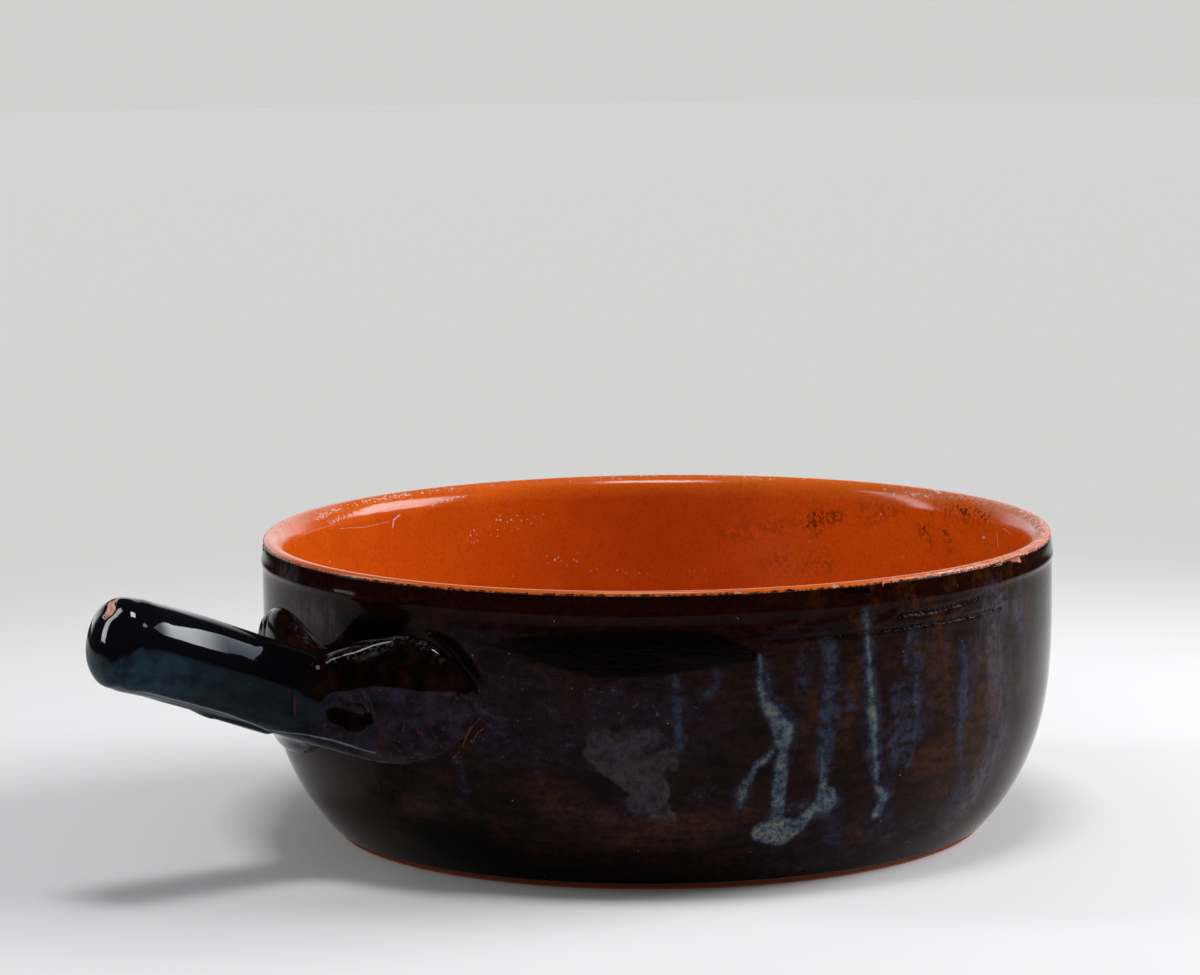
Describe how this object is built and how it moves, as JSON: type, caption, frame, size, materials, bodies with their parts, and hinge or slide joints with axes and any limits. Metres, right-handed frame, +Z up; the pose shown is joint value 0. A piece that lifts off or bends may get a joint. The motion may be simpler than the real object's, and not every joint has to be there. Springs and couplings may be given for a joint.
{
  "type": "glazed terracotta cooking pot",
  "caption": "Wide round earthenware cooking pot with a flat foot, curved wall, rounded lip and one solid stick handle pressed onto the wall with two thumbed wings.",
  "frame": {"origin": "centre of the flat underside, on the pot's turning axis", "axes": "+Z up along the pot's turning axis, the handle points along -X, and the side seen in the picture is towards -Y and -X"},
  "size_m": [0.3149, 0.2408, 0.09],
  "materials": {
    "red_clay": "bare fired red clay, matt, slightly gritty, seen round the foot and under the pot",
    "handle_clay": "bare fired clay under the handle's coat, seen only in its chips",
    "clear_glaze": "thin clear glossy coat over orange clay, worn pink along the lip",
    "dark_glaze": "near-black brown manganese coat, glossy, with milky blue-grey mottling and runs",
    "handle_dark_glaze": "thick near-black brown coat, very glossy, with small chips and pinholes"
  },
  "bodies": {
    "root": {"bowl": "red_clay", "handle_grip": "handle_clay", "front_root_wing": "handle_clay", "back_root_wing": "handle_clay", "inner_glaze": "clear_glaze", "outer_glaze": "dark_glaze", "handle_glaze": "handle_dark_glaze"}
  },
  "joints": []
}
